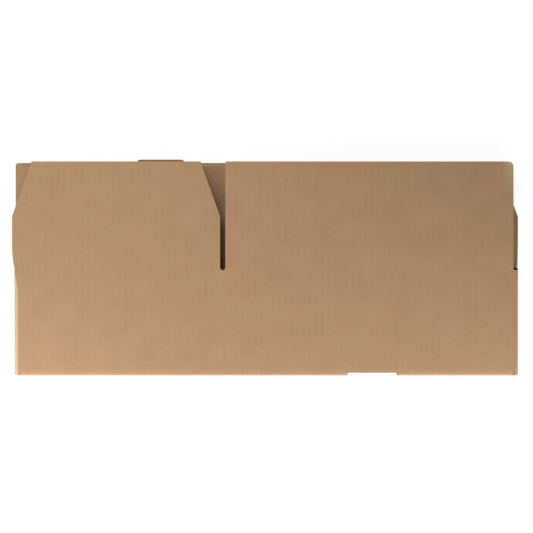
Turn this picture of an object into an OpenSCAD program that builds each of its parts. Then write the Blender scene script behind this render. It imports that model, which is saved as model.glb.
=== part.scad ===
// Auto-lock bottom carton, knocked down flat
//
// One die-cut sheet of single-wall corrugated board, folded into a flat tube and glued.
// The front short and front long panel lie side by side on top. The back short and back long
// panel lie under them. The bottom flaps are folded up between the two plies, already glued,
// so that the bottom springs into place when the tube is squared up. The four top flaps lie
// open beyond the panels and swing on their score lines.
//
// X runs across the panels, Y from the bottom fold to the top flaps, Z up from the table.
// The origin is on the table, in the middle of the outline.

/* [Panels] */
// Long panel, side fold to score
long_w = 307.4; // [240:0.2:400]
// Short panel, side fold to score
short_w = 221.6; // [180:0.2:300]
// Panel height, bottom fold to top score
panel_h = 111.8; // [90:0.2:180]
// Board thickness
board_t = 3; // [1.5:0.1:4]
// Air between layers that are not glued
layer_gap = 0.4; // [0.3:0.1:1]
// Lap of the glued side seam
seam_lap = 32; // [20:1:40]

/* [Top flaps] */
// Flap length, score to free edge
flap_len = 111.4; // [60:0.1:160]
// Width of the slots between flaps
slot_w = 5.5; // [3:0.1:9]
// Depth of the slots past the score
slot_past = 1.7; // [0.5:0.1:4]
// Inset of the bevels on the short flaps
bevel_in = 20.5; // [5:0.5:35]
// Height of the bevels on the short flaps
bevel_h = 57; // [20:1:58]
// Relief at the heel of the front short flap
heel_in = 2.6; // [0.5:0.1:4]
// Relief at the heel of the back short flap
back_heel_in = 0.6; // [0.3:0.1:4]
// Height of the reliefs, from the score
heel_h = 18; // [8:1:30]
// Outer corner radius of the front long flap
corner_r = 5; // [1:0.5:12]
// Outer corner radius of the back long flap
back_corner_r = 3; // [1:0.5:12]
// Inset of the front long flap from the right fold
long_flap_in = 7; // [1:0.1:12]
// Overhang of the back short flap past the right fold
short_flap_out = 1.4; // [0:0.1:4]
// Crushed line left open along each score
score_gap = 0.4; // [0.3:0.1:0.8]

/* [Auto-lock bottom] */
// Shortfall of the base panel against the short panel
base_clear = 2.4; // [1:0.2:6]
// Inset of the base panel from the left fold
base_in = 4.4; // [3:0.2:10]
// Height above the score at which the base panel reaches its full width
base_rise = 60; // [20:1:65]
// Width of the lock tab
tab_w = 49; // [30:1:80]
// Length of the lock tab
tab_len = 7.1; // [4:0.1:12]
// Length of the lock slot
lock_w = 52; // [32:1:84]
// Height of the lock slot on the panel
lock_h = 3.6; // [2:0.1:6]
// Depth of the side flaps
side_depth = 98; // [60:1:110]
// Depth of the front long bottom flap
inner_depth = 103; // [60:1:120]
// Width of the glue wings across the diagonal score
wing_w = 44; // [25:1:55]
// Rise of the two back bottom folds
back_raise = 1.5; // [0:0.1:4]

/* [Side folds] */
// Width of the sloping faces beside the left fold line
left_facet = 6; // [2:0.2:7]
// Width of the sloping faces beside the right fold line
right_facet = 4.2; // [2:0.2:7]

/* [Hidden] */
$fn = 64;
board_color = "#b98f66";

// Height of each layer's underside, counted from the table
z_back = 0;
z_base = board_t + layer_gap;
z_main = 3 * board_t + 2 * layer_gap;
z_front = 4 * board_t + 3 * layer_gap;
stack = 5 * board_t + 3 * layer_gap;

// Glued layers bed into each other by the thickness of the adhesive
glue = 0.1;
z_wing_base = z_base + board_t - glue;
z_wing_main = z_main - board_t + glue;

// Folds: a tight one has its two plies together, a side fold is creased on the middle of the stack
tight_r = board_t + layer_gap / 2;
side_r = stack / 2;
cut_in = 0.8;

// Each fold runs on into the flat board beside it, and a relief cut parts its ends from the board
bond = 1;
leg = tight_r;
relief = 0.4;

// Outline of the folded tube
total_w = long_w + short_w;
score_y = panel_h;
flap_top = score_y + flap_len;
corner = side_r + 1.5;
flap_clear = 8;
side_d = min(side_depth, panel_h - flap_clear, short_w / 2 - flap_clear);
inner_d = min(inner_depth, panel_h - flap_clear);
base_d = short_w - base_clear;
base_right = long_w - 5;
base_heel = corner + relief;
base_heel_y = score_y + base_rise;
tab_r = 2.5;
tab_mid = long_w / 2;
lock_mid = short_w + long_w / 2;
lock_r = min(2.5, lock_h - 0.5);
flap_split = 1.5;
seam_clear = 8;
side_taper = 8;
wing_y = 8;
crease = 0.02;
root = 3;

// Edges of the top flaps
slot_left = short_w - 5;
front_short_right = slot_left;
front_long_left = slot_left + slot_w;
front_long_right = total_w - long_flap_in;
back_long_right = long_w - 1;
back_short_left = back_long_right + slot_w + 1;
back_short_right = total_w + short_flap_out;

// Middle of the outline
mid_x = (max(total_w, back_short_right)) / 2;
mid_y = max(base_d + tab_len, flap_top) / 2;

// A sheet of board at height z, cut to the outline of its children
module sheet(z) {
    translate([0, 0, z])
        linear_extrude(board_t)
            children();
}

// A strip from x0 to x1 and from y0 to y1
module strip(x0, x1, y0, y1) {
    translate([x0, y0])
        square([x1 - x0, y1 - y0]);
}

// Half a tube along Z, its closed side towards -Y
module half_tube(len, outer, inner) {
    difference() {
        cylinder(r = outer, h = len);
        translate([0, 0, -1])
            cylinder(r = inner, h = len + 2);
        translate([-outer - 1, 0, -1])
            cube([2 * outer + 2, outer + 1, len + 2]);
    }
}

// The inside or outside of a fold's section: a round end and straight legs
module fold_section(r, len) {
    circle(r = r);
    translate([0, -r])
        square([len, 2 * r]);
}

// A fold along X from x0 to x1 that joins two layers and reaches out to y
module fold_x(x0, x1, y, z_low, z_high) {
    outer = (z_high - z_low + board_t) / 2;
    translate([x0, y + outer, z_low + outer])
        rotate([90, 0, 90])
            linear_extrude(x1 - x0)
                difference() {
                    fold_section(outer, leg);
                    fold_section(outer - board_t, leg + 1);
                }
}

// The side fold at the left, along Y: a crease with a sloping face on both plies
module side_fold(facet) {
    run = score_y - slot_past - cut_in;
    wide = min(facet, 0.78 * side_r);
    slope = sqrt(wide * wide + side_r * side_r);
    tip_in = board_t * slope / side_r;
    knee_in = tip_in + wide * (side_r - board_t) / side_r;
    translate([0, cut_in + run, 0])
        rotate([90, 0, 0])
            linear_extrude(run)
                polygon([
                    [side_r + bond, 0],
                    [side_r + bond, board_t],
                    [knee_in, board_t],
                    [tip_in, side_r],
                    [knee_in, stack - board_t],
                    [side_r + bond, stack - board_t],
                    [side_r + bond, stack],
                    [wide, stack],
                    [0, side_r],
                    [wide, 0]
                ]);
}

// A glue wing along a diagonal fold, its ends square to the panels
module wing(len, deep) {
    polygon([
        [0, 0],
        [len, 0],
        [len - deep, deep],
        [deep, deep]
    ]);
}

// A diagonal fold along X between two layers, its board a hair thinner where it is creased.
// The roots run into the flat board on both layers.
module diagonal_fold(len, z_low, z_high) {
    outer = (z_high - z_low + board_t) / 2 - crease;
    inner = outer - board_t + 2 * crease;
    translate([0, 0, (z_low + z_high + board_t) / 2])
        rotate([0, 90, 0])
            half_tube(len, outer, inner);
    for (z = [z_low, z_high])
        translate([0, 0, z + crease])
            cube([len, root, board_t - 2 * crease]);
}

// A folded side flap, its corner at the origin: the part that stays flat under its own panel,
// the diagonal fold, and the wing that is glued to the neighbour
module side_flap(flat_w, z_panel, z_flat, z_wing) {
    diag_r = (abs(z_flat - z_wing) + board_t) / 2;
    shift = diag_r * sqrt(2);
    run = (side_d - shift - wing_y) * sqrt(2);
    wing_deep = min(wing_w - diag_r, run / 2 - 2);
    off = shift + 0.1 * root * sqrt(2);
    start = corner + relief;
    fold_x(start, flat_w, 0, min(z_panel, z_flat), max(z_panel, z_flat));
    sheet(z_flat)
        polygon([
            [start, tight_r],
            [flat_w, tight_r],
            [flat_w, tight_r + leg],
            [flat_w - side_taper, side_d],
            [side_d + off, side_d],
            [wing_y + off, wing_y],
            [start, tight_r + leg]
        ]);
    translate([side_d, side_d - shift, 0])
        rotate([0, 0, 225]) {
            translate([1, 0, 0])
                diagonal_fold(run - 2, min(z_flat, z_wing), max(z_flat, z_wing));
            translate([0, 0.1 * root, 0])
                sheet(z_wing)
                    wing(run, wing_deep);
        }
}

// The two panels on top, with the end of the slot between their flaps
module front_panels() {
    sheet(z_front)
        difference() {
            union() {
                strip(side_r, total_w - side_r, tight_r, score_y - score_gap / 2);
                strip(side_r, corner, cut_in, tight_r + 1);
                strip(short_w - flap_split + relief, short_w + flap_split - relief, cut_in, tight_r + 1);
                strip(total_w - corner, total_w - side_r, cut_in, tight_r + 1);
            }
            translate([slot_left + slot_w / 2, score_y - slot_past + slot_w / 2])
                circle(d = slot_w);
        }
}

// The lock slot, cut through both plies of the front long panel's bottom fold
module lock_slot() {
    left = lock_mid - lock_w / 2;
    right = lock_mid + lock_w / 2;
    translate([0, 0, z_main - layer_gap / 2])
        linear_extrude(stack)
            union() {
                strip(left, right, -1, lock_h - lock_r);
                strip(left + lock_r, right - lock_r, -1, lock_h);
                for (x = [left + lock_r, right - lock_r])
                    translate([x, lock_h - lock_r])
                        circle(r = lock_r);
            }
}

// The two panels underneath, butted at the seam, and the lap that is glued inside the short one
module back_panels() {
    low = back_raise + tight_r;
    high = score_y - score_gap / 2;
    lap_y = 6;
    lap_bevel = 6;
    sheet(z_back)
        union() {
            strip(side_r, long_w, low, high);
            strip(side_r, corner, cut_in, low + 1);
            strip(base_right + relief, long_w, back_raise + cut_in, low + 1);
        }
    sheet(z_back)
        union() {
            strip(long_w + 0.6, total_w - side_r, low, high);
            strip(long_w + 0.6, long_w + seam_lap + seam_clear - relief, back_raise + cut_in, low + 1);
            strip(total_w - corner, total_w - side_r, cut_in, low + 1);
        }
    sheet(board_t - glue)
        polygon([
            [long_w - 3, back_raise + lap_y],
            [long_w, back_raise + lap_y],
            [long_w + seam_lap, back_raise + lap_y + lap_bevel],
            [long_w + seam_lap, score_y - lap_y - lap_bevel],
            [long_w, score_y - lap_y],
            [long_w - 3, score_y - lap_y]
        ]);
}

// The base panel folded up from the back long panel, with the lock tab on its free edge
module base_panel() {
    fold_x(base_heel, base_right, back_raise, z_back, z_base);
    sheet(z_base)
        union() {
            polygon([
                [base_heel, back_raise + tight_r],
                [base_right, back_raise + tight_r],
                [base_right, base_d],
                [base_in, base_d],
                [base_in, base_heel_y],
                [base_heel - 2, score_y]
            ]);
            strip(tab_mid - tab_w / 2, tab_mid + tab_w / 2, base_d - 1, base_d + tab_len - tab_r);
            strip(tab_mid - tab_w / 2 + tab_r, tab_mid + tab_w / 2 - tab_r, base_d, base_d + tab_len);
            for (side = [-1, 1])
                translate([tab_mid + side * (tab_w / 2 - tab_r), base_d + tab_len - tab_r])
                    circle(r = tab_r);
        }
}

// The bottom flap folded up from the front long panel
module inner_flap() {
    left = short_w + flap_split;
    right = total_w - corner - relief;
    fold_x(left, right, 0, z_main, z_front);
    sheet(z_main)
        polygon([
            [left, tight_r],
            [right, tight_r],
            [right, tight_r + leg],
            [right - side_taper, inner_d],
            [left + side_taper, inner_d],
            [left, tight_r + leg]
        ]);
}

// A short top flap, bevelled on both sides, lying in the plane of its panel
module short_flap(left, right, heel_left, heel_right) {
    low = score_y + score_gap / 2;
    bevel_y = flap_top - bevel_h;
    heel_y = score_y + heel_h;
    linear_extrude(board_t)
        polygon([
            [left + heel_left, low],
            [right - heel_right, low],
            [right, heel_y],
            [right, bevel_y],
            [right - bevel_in, flap_top],
            [left + bevel_in, flap_top],
            [left, bevel_y],
            [left, heel_y]
        ]);
}

// A long top flap with one rounded outer corner
module long_flap(left, right, round_r, round_right) {
    low = score_y + score_gap / 2;
    mid = round_right ? right - round_r : left + round_r;
    linear_extrude(board_t)
        union() {
            strip(left, right, low, flap_top - round_r);
            strip(round_right ? left : mid, round_right ? mid : right, low, flap_top);
            translate([mid, flap_top - round_r])
                circle(r = round_r);
        }
}

// Lifts a front flap into the plane of the front panels
module raised() {
    translate([0, 0, z_front])
        children();
}

// Moves the sheet's own corner to the middle of the outline
module placed() {
    translate([-mid_x, -mid_y, 0])
        children();
}

module sleeve() {
    color(board_color)
        placed() {
            difference() {
                union() {
                    front_panels();
                    inner_flap();
                }
                lock_slot();
            }
            back_panels();
            side_fold(left_facet);
            translate([total_w, 0, 0])
                mirror([1, 0, 0])
                    side_fold(right_facet);
            side_flap(short_w - flap_split, z_front, z_main, z_wing_base);
            translate([total_w, back_raise, 0])
                mirror([1, 0, 0])
                    side_flap(short_w - seam_lap - seam_clear, z_back, z_base, z_wing_main);
            base_panel();
        }
}

module front_short_flap() {
    color(board_color)
        placed()
            raised()
                short_flap(0, front_short_right, heel_in, 0);
}

module front_long_flap() {
    color(board_color)
        placed()
            raised()
                long_flap(front_long_left, front_long_right, corner_r, true);
}

module back_short_flap() {
    color(board_color)
        placed()
            short_flap(back_short_left, back_short_right, 0, back_heel_in);
}

module back_long_flap() {
    color(board_color)
        placed()
            long_flap(0, back_long_right, back_corner_r, false);
}

sleeve();
front_short_flap();
front_long_flap();
back_short_flap();
back_long_flap();
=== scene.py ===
"""Looks of an auto-lock bottom carton of corrugated board, knocked down flat.

Every ply is built as real single-wall board: two liners with a fluted paper between them, cut
to the outline of its panel or flap and bent round its folds. Lengths are in millimetres in the
blank's own corner frame, and become metres in the part's frame when a mesh is written.
"""
import logging
import math
from dataclasses import dataclass, field
from enum import Enum, IntEnum
from typing import Any, Callable, Sequence

import bpy
import numpy as np
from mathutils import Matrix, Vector


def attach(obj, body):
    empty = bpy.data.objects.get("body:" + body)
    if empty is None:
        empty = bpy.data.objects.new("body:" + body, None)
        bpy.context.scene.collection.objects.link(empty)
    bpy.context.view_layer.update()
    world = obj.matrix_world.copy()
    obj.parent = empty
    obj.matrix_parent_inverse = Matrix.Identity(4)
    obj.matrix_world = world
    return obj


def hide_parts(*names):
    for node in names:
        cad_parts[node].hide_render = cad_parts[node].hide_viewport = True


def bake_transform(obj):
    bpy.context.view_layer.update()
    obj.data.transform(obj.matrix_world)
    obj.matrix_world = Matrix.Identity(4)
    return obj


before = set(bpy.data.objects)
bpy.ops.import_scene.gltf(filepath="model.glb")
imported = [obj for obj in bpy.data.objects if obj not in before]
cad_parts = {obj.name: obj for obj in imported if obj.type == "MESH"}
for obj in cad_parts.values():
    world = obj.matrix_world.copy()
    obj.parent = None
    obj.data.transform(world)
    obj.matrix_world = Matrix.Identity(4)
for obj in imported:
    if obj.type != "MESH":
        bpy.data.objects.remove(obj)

log = logging.getLogger("carton")

MM = 0.001

Array = np.ndarray
Point = tuple[Array, Array, Array]
# An edge takes stations across the flutes to lengths along them.
Edge = Callable[[Array], Array]
# A place takes station, row and depth to a point, and a pallor takes them to how pale the paper is made,
# by wear and by painted light.
Place = Callable[[Array, Array, Array], Point]
Pallor = Callable[[Array, Array, Array], Array]


class Face(IntEnum):
    """Which finish a face of a board takes, as its material index."""

    LINER = 0
    CUT = 1
    FLUTING = 2


class Side(Enum):
    """A side of the carton or of a flap."""

    LEFT = "left"
    RIGHT = "right"


class Ply(Enum):
    """The front lies on top and faces up, the back lies on the table and faces down."""

    FRONT = "front"
    BACK = "back"


class Grain(Enum):
    """How far along the flutes a piece's grain is moved, so that those inside don't repeat the panels'."""

    PANELS = 0.0
    BASE = -320.0
    LONG_FLAP = -450.0
    SIDE_FLAP = -600.0
    WING = -720.0
    DIAGONAL = -800.0
    LAP = -900.0


@dataclass(frozen=True)
class Board:
    """Single-wall corrugated board, its flutes running from the bottom to the top flaps."""

    thick: float = 3.0
    liner: float = 0.3
    paper: float = 0.24
    pitch: float = 6.4
    steps: int = 8

    def wave(self, run: Array) -> Array:
        """Depth of the middle of the fluting below the outer face."""
        swing = self.thick / 2 - self.liner - self.paper / 2
        return self.thick / 2 + swing * np.cos(2 * np.pi * run / self.pitch)

    def columns(self, start: float, end: float) -> Array:
        """Even stations across the flutes, close enough to draw their waves."""
        count = max(3, int(round((end - start) / self.pitch * self.steps)) + 1)
        return np.linspace(start, end, count)

    def outer_share(self, depth: Array) -> Array:
        """1 on the outer face of the board and 0 on its inner face."""
        return 1 - depth / self.thick


BOARD = Board()


@dataclass(frozen=True)
class Blank:
    """Sizes of the folded blank, worked out as in the part's own source.

    X runs across the panels from the left fold, Y from the bottom fold to the top flaps.
    """

    long_w: float = 307.4
    short_w: float = 221.6
    panel_h: float = 111.8
    gap: float = 0.4
    layers: int = 5
    open_gaps: int = 3
    fold_clear: float = 1.5
    cut_in: float = 0.8
    flap_split: float = 1.5
    seam_lap: float = 32.0
    seam_clear: float = 8.0
    seam_gap: float = 0.6
    flap_len: float = 111.4
    flap_root: float = 3.0
    slot_w: float = 5.5
    slot_past: float = 1.7
    slot_in: float = 5.0
    back_slot_in: float = 1.0
    bevel_in: float = 20.5
    bevel_h: float = 57.0
    corner_r: float = 5.0
    back_corner_r: float = 3.0
    heel_in: float = 2.6
    back_heel_in: float = 0.6
    long_flap_in: float = 7.0
    short_flap_out: float = 1.4
    base_in: float = 4.4
    base_side: float = 5.0
    base_clear: float = 2.4
    base_rise: float = 60.0
    relief: float = 0.4
    tab_w: float = 49.0
    tab_len: float = 7.1
    tab_r: float = 2.5
    lock_w: float = 52.0
    lock_h: float = 3.6
    lock_r: float = 2.5
    side_depth: float = 98.0
    inner_depth: float = 103.0
    taper: float = 8.0
    wing_w: float = 44.0
    wing_y: float = 8.0
    glue: float = 0.1
    back_raise: float = 1.5

    @property
    def total_w(self) -> float:
        """Width of the flat tube."""
        return self.long_w + self.short_w

    @property
    def stack(self) -> float:
        """Height of the flat tube, the glued layers counted without a gap."""
        return self.layers * BOARD.thick + self.open_gaps * self.gap

    @property
    def z_base(self) -> float:
        """Underside of the base panel."""
        return BOARD.thick + self.gap

    @property
    def z_main(self) -> float:
        """Underside of the bottom flaps that hang from the front ply."""
        return 3 * BOARD.thick + 2 * self.gap

    @property
    def tight_r(self) -> float:
        """Outer radius of a fold whose two plies lie together."""
        return BOARD.thick + self.gap / 2

    @property
    def corner(self) -> float:
        """How far in from a side fold the panels are flat."""
        return self.stack / 2 + self.fold_clear

    @property
    def flap_top(self) -> float:
        """Free edge of the top flaps, measured along the board."""
        return self.panel_h + self.flap_len

    @property
    def wall_top(self) -> float:
        """Line just under the scores, where the walls end and the flaps take over."""
        return self.panel_h - self.flap_root

    @property
    def slot_end(self) -> float:
        """Lower end of the slots between the flaps."""
        return self.panel_h - self.slot_past

    @property
    def slot_left(self) -> float:
        """Left edge of the slot between the front flaps."""
        return self.short_w - self.slot_in

    @property
    def front_long_right(self) -> float:
        """Right edge of the front long flap."""
        return self.total_w - self.long_flap_in

    @property
    def back_long_right(self) -> float:
        """Right edge of the back long flap."""
        return self.long_w - self.back_slot_in

    @property
    def back_short_left(self) -> float:
        """Left edge of the back short flap."""
        return self.long_w + self.slot_w

    @property
    def back_short_right(self) -> float:
        """Right edge of the back short flap."""
        return self.total_w + self.short_flap_out

    @property
    def lap_end(self) -> float:
        """Where the bottom fold starts again past the seam's lap."""
        return self.long_w + self.seam_lap + self.seam_clear

    @property
    def lock_mid(self) -> float:
        """Middle of the lock slot, which is that of the front long panel."""
        return self.short_w + self.long_w / 2

    @property
    def base_right(self) -> float:
        """Right edge of the base panel."""
        return self.long_w - self.base_side

    @property
    def base_top(self) -> float:
        """Free edge of the base panel."""
        return self.short_w - self.base_clear

    @property
    def base_heel(self) -> float:
        """Left end of the base panel's fold."""
        return self.corner + self.relief

    @property
    def base_heel_y(self) -> float:
        """Height at which the base panel reaches its full width."""
        return self.panel_h + self.base_rise

    @property
    def mid_x(self) -> float:
        """Middle of the outline across the panels."""
        return self.back_short_right / 2

    @property
    def mid_y(self) -> float:
        """Middle of the outline from the bottom fold to the lock tab."""
        return (self.base_top + self.tab_len) / 2


BLANK = Blank()

# The front ply sinks by this much over the last stretch above the bottom fold.
ROLL_FROM = 9.0
ROLL_DROP = 0.6
# How deep a score is pressed into the outer face, and half its width.
SCORE_DEPTH = 0.025
SCORE_HALF = 1.5
# Height above the bottom edge at which a bottom fold hands over to its flap.
PLY_SPLIT = 8.0
# Stations round a small corner, and how far in from a cut end the even stations start.
CORNER_STEPS = 7
CORNER_CLEAR = 6.0
# Edges on a mesh that bend by more than this are drawn sharp.
SHARP_DEG = 34.0


def linear(hex_colour: str, alpha: float = 1.0) -> tuple[float, float, float, float]:
    """Turns an sRGB hex colour into a linear one.

    Args:
        hex_colour: A colour such as "#b98f66".
        alpha: Opacity.

    Returns:
        Red, green, blue and alpha.
    """
    parts = [int(hex_colour[i : i + 2], 16) / 255 for i in (1, 3, 5)]
    flat = [c / 12.92 if c <= 0.04045 else ((c + 0.055) / 1.055) ** 2.4 for c in parts]
    return flat[0], flat[1], flat[2], alpha


def ease(share: Array) -> Array:
    """Smooth step from 0 to 1 with level ends."""
    t = np.clip(share, 0.0, 1.0)
    return t * t * (3 - 2 * t)


def roll(height: Array) -> Array:
    """How far a panel's face sinks where it runs into the bottom fold."""
    return ROLL_DROP * np.clip((ROLL_FROM - height) / ROLL_FROM, 0.0, 1.0) ** 2


def level(value: float) -> Edge:
    """An edge that stays at one height."""
    return lambda run: np.full_like(np.asarray(run, float), value)


def merged(*runs: Sequence[float]) -> Array:
    """Sorted stations with near doubles dropped.

    Args:
        runs: Lists of stations.

    Returns:
        All of them in one list.
    """
    every = np.sort(np.concatenate([np.asarray(r, float) for r in runs]))
    keep = np.concatenate([[True], np.diff(every) > 1e-4])
    return every[keep]


def corner_runs(radius: float, count: int = CORNER_STEPS) -> Array:
    """Stations across a rounded corner, counted in from its side."""
    return radius * (1 - np.cos(np.linspace(0, np.pi / 2, count)))


def corner_drop(from_side: Array, radius: float) -> Array:
    """How far a rounded corner falls short of a square one."""
    short = np.clip(radius - from_side, 0.0, radius)
    return radius - np.sqrt(radius**2 - short**2)


def lock_edge(run: Array) -> Array:
    """Upper edge of the lock slot, its two corners rounded."""
    from_end = BLANK.lock_w / 2 - np.abs(run - BLANK.lock_mid)
    return BLANK.lock_h - corner_drop(from_end, BLANK.lock_r)


def lock_knots() -> Array:
    """Stations across the lock slot, close together at its corners.

    Returns:
        The stations.
    """
    bend = corner_runs(BLANK.lock_r)
    left, right = BLANK.lock_mid - BLANK.lock_w / 2, BLANK.lock_mid + BLANK.lock_w / 2
    even = np.linspace(left + CORNER_CLEAR, right - CORNER_CLEAR, 5)
    return merged(left + bend, even, right - bend)


@dataclass
class Section:
    """A fold seen from its end: matching stations on its outer and its inner face."""

    outer: Array
    inner: Array
    run: Array = field(init=False)

    def __post_init__(self) -> None:
        """Measures the outer face, station by station."""
        steps = np.linalg.norm(np.diff(self.outer, axis=0), axis=1)
        self.run = np.concatenate([[0.0], np.cumsum(steps)])

    @property
    def length(self) -> float:
        """Length of the outer face."""
        return float(self.run[-1])

    def station(self, run: Array) -> Array:
        """Number of the station at each length, with the share of the way to the next."""
        return np.interp(run, self.run, np.arange(len(self.run)))

    def at(self, run: Array, depth: Array) -> tuple[Array, Array]:
        """Points of the board in the plane of the section, by length along the outer face."""
        return self.at_station(self.station(run), depth)

    def at_station(self, number: Array, depth: Array) -> tuple[Array, Array]:
        """Points of the board in the plane of the section.

        Args:
            number: Station numbers.
            depth: Depths below the outer face.

        Returns:
            First and second coordinate of each point.
        """
        share = depth / BOARD.thick
        every = np.arange(len(self.run))
        spots = []
        for axis in (0, 1):
            out = np.interp(number, every, self.outer[:, axis])
            inn = np.interp(number, every, self.inner[:, axis])
            spots.append(out + (inn - out) * share)
        return spots[0], spots[1]


def filleted(corners: Sequence[tuple[float, float]], radii: Sequence[float], steps: int) -> Array:
    """Rounds the inner corners of an open line.

    Args:
        corners: Points of the line.
        radii: Radius for each point between the two ends.
        steps: Spans in each rounding.

    Returns:
        Stations along the rounded line.
    """
    points = [np.asarray(c, float) for c in corners]
    stations = [points[0]]
    for before, here, after, radius in zip(points, points[1:], points[2:], radii):
        back = (before - here) / np.linalg.norm(before - here)
        on = (after - here) / np.linalg.norm(after - here)
        half = math.acos(float(np.clip(back @ on, -1, 1))) / 2
        reach = radius / math.tan(half)
        bisector = (back + on) / np.linalg.norm(back + on)
        middle = here + bisector * radius / math.sin(half)
        first, last = here + back * reach - middle, here + on * reach - middle
        turn = math.acos(float(np.clip(first @ last / radius**2, -1, 1)))
        for share in np.linspace(0, 1, steps + 1):
            a, b = math.sin((1 - share) * turn), math.sin(share * turn)
            stations.append(middle + (first * a + last * b) / math.sin(turn))
    stations.append(points[-1])
    return np.array(stations)


@dataclass
class Outline:
    """Cut shape of a piece of board: for each station across the flutes, where it starts and ends.

    Fixed rows are the same for every station, and the shares then part what is left up to the
    high edge. Without them the shares part the whole way from the low edge to the high one.
    """

    knots: Array
    low: Edge
    high: Edge
    fixed: Sequence[float] = ()
    shares: Sequence[float] = (0.0, 1.0)

    def rows(self, runs: Array) -> Array:
        """Rows along the flutes for each station.

        Args:
            runs: Stations across the flutes.

        Returns:
            One line of heights for each station.
        """
        high = self.high(runs)[:, None]
        shares = np.asarray(self.shares, float)[None, :]
        if len(self.fixed):
            first = np.repeat(np.asarray(self.fixed, float)[None, :], len(runs), axis=0)
            last = first[:, -1:]
            return np.concatenate([first, last + (high - last) * shares[:, 1:]], axis=1)
        low = self.low(runs)[:, None]
        return low + (high - low) * shares


class BoardMesh:
    """Collects the liners and flutings of one piece and writes them as one mesh."""

    def __init__(self) -> None:
        """Starts with nothing in it."""
        self.points: list[Array] = []
        self.quads: list[Array] = []
        self.faces: list[Array] = []
        self.maps: list[Array] = []
        self.pallor_values: list[Array] = []
        self.count = 0

    def shell(
        self, over: Array, under: Array, flat: Array, pallor: Sequence[Array], face: Face
    ) -> None:
        """Adds a thin closed sheet.

        Args:
            over: Points of its upper skin, station by row.
            under: Points of its lower skin.
            flat: Place of each point on the flat blank.
            pallor: How far the paper is paled, by wear and by painted light, at each point of the upper
                and of the lower skin.
            face: Finish of the skins. The rims are cut board.
        """
        n, m = over.shape[:2]
        index = np.arange(n * m).reshape(n, m)
        quad = np.stack([index[:-1, :-1], index[1:, :-1], index[1:, 1:], index[:-1, 1:]], axis=-1)
        quad = quad.reshape(-1, 4)
        loop = np.concatenate([index[:, 0], index[-1, 1:], index[-2::-1, -1], index[0, -2:0:-1]])
        after = np.roll(loop, -1)
        rim = np.stack([loop, loop + n * m, after + n * m, after], axis=-1)
        every = np.concatenate([quad, quad[:, ::-1] + n * m, rim])
        a, b = over[1:, :-1] - over[:-1, :-1], over[:-1, 1:] - over[:-1, :-1]
        lean = (np.cross(a, b) * (over - under)[:-1, :-1]).sum()
        if lean < 0:
            every = every[:, ::-1]
        finish = np.full(len(every), int(face))
        finish[2 * len(quad):] = int(Face.CUT)
        self.points.append(np.concatenate([over.reshape(-1, 3), under.reshape(-1, 3)]))
        self.quads.append(every + self.count)
        self.faces.append(finish)
        self.maps.append(np.concatenate([flat.reshape(-1, 2)] * 2))
        self.pallor_values.extend(skin.reshape(-1) for skin in pallor)
        self.count += 2 * n * m

    def board(
        self,
        outline: Outline,
        place: Place,
        pallor: Pallor | None = None,
        grain: Grain = Grain.PANELS,
    ) -> None:
        """Adds a piece of board: outer liner, inner liner and fluting.

        Args:
            outline: Its cut shape.
            place: Takes station, row and depth to a point.
            pallor: Takes station, row and depth to the paleness of the board's outer face, at depth 0, and
                of its inner face, at full depth; the paleness is wear and painted light.
            grain: Which stretch of the paper's grain it shows.
        """
        t, liner, half = BOARD.thick, BOARD.liner, BOARD.paper / 2
        knots = outline.knots
        fine = merged(BOARD.columns(knots[0], knots[-1]), knots)
        wave = BOARD.wave(fine)[:, None]
        layers = (
            (knots, 0.0, liner, Face.LINER),
            (knots, t - liner, t, Face.LINER),
            (fine, wave - half, wave + half, Face.FLUTING),
        )
        for runs, top, low, face in layers:
            rows = outline.rows(runs)
            wide = np.repeat(runs[:, None], rows.shape[1], axis=1)
            skins = []
            for depth in (top, low):
                deep = np.broadcast_to(depth, rows.shape)
                skins.append(np.stack(place(wide, rows, deep), axis=-1))
            flat = np.stack([wide, rows + grain.value], axis=-1) * MM
            pale = [np.zeros_like(rows), np.zeros_like(rows)]
            if pallor is not None and face is Face.LINER:
                skin = 0 if top == 0.0 else 1
                pale[skin] = pallor(wide, rows, np.full_like(rows, (top, low)[skin]))
            self.shell(skins[0], skins[1], flat, pale, face)

    def build(self, name: str, finishes: Sequence[bpy.types.Material]) -> bpy.types.Object:
        """Writes the mesh.

        Args:
            name: Name of the piece.
            finishes: Materials, in the order of Face.

        Returns:
            The new object, at the origin of the part's frame.
        """
        points = np.concatenate(self.points) - np.array([BLANK.mid_x, BLANK.mid_y, 0.0])
        quads = np.concatenate(self.quads)
        mesh = bpy.data.meshes.new(name)
        mesh.from_pydata((points * MM).tolist(), [], quads.tolist())
        for finish in finishes:
            mesh.materials.append(finish)
        mesh.polygons.foreach_set("material_index", np.concatenate(self.faces).astype(np.int32))
        uv = mesh.uv_layers.new(name="blank")
        corners = np.zeros(len(mesh.loops), np.int32)
        mesh.loops.foreach_get("vertex_index", corners)
        uv.data.foreach_set("uv", np.concatenate(self.maps)[corners].astype(np.float32).ravel())
        # Paleness of each point, from wear and from painted light.
        pale = mesh.attributes.new("wear_and_painted_light", "FLOAT", "POINT")
        pale.data.foreach_set("value", np.concatenate(self.pallor_values).astype(np.float32))
        mesh.shade_smooth()
        mesh.set_sharp_from_angle(angle=math.radians(SHARP_DEG))
        mesh.update()
        piece = bpy.data.objects.new(name, mesh)
        bpy.context.scene.collection.objects.link(piece)
        return piece


# Sockets of the mix node that carry colours. They share their names with the plain ones.
MIX_A, MIX_B, MIX_RESULT = 6, 7, 2

# Most values of a noise lie in this range.
NOISE_LOW, NOISE_HIGH = 0.3, 0.7


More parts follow.
